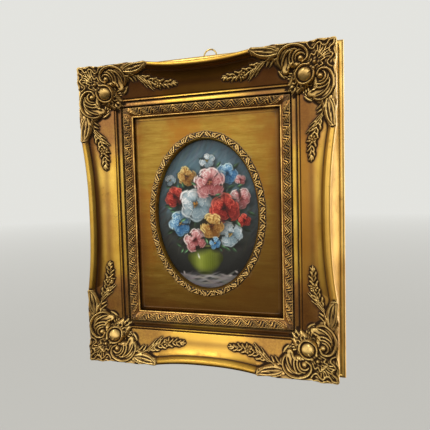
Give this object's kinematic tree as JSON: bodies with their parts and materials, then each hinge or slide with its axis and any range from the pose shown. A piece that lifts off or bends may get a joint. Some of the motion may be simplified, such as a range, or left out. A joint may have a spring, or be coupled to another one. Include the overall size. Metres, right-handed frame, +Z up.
{
  "type": "framed painting",
  "caption": "Small framed oil painting: swept gilt frame with carved corners, patterned slip, panel with a carved oval opening, painted board and a hanging ring.",
  "frame": {"origin": "the highest point inside the hanging ring, where the ring rests on its nail", "axes": "+Z up, -Y out of the wall towards the viewer, +X to the viewer's right"},
  "size_m": [0.346, 0.0517, 0.423],
  "materials": {
    "antique_gold": "antique gold over carved and moulded wood, with brown patina in the hollows",
    "bronzed_gold": "dark bronzed gold with nearly black recesses",
    "brushed_gold": "gold with fine level brush streaks",
    "oil_paint": "oil paint on board, plain wood on the back",
    "plated_steel": "plain plated steel",
    "dull_brass": "dull brass"
  },
  "bodies": {
    "picture": {"outer_frame": "antique_gold", "inner_slip": "bronzed_gold", "oval_panel": "brushed_gold", "painting_board": "oil_paint", "hanger_strap": "plated_steel", "hanger_screw_1": "plated_steel", "hanger_screw_2": "plated_steel"},
    "ring": {"hanging_ring": "dull_brass"}
  },
  "joints": [
    {"name": "ring_swing", "type": "hinge", "parent": "picture", "child": "ring", "pos_m": [0, 0, -0.0143], "axis": [-1, 0, 0], "range_deg": [0, 165]}
  ]
}
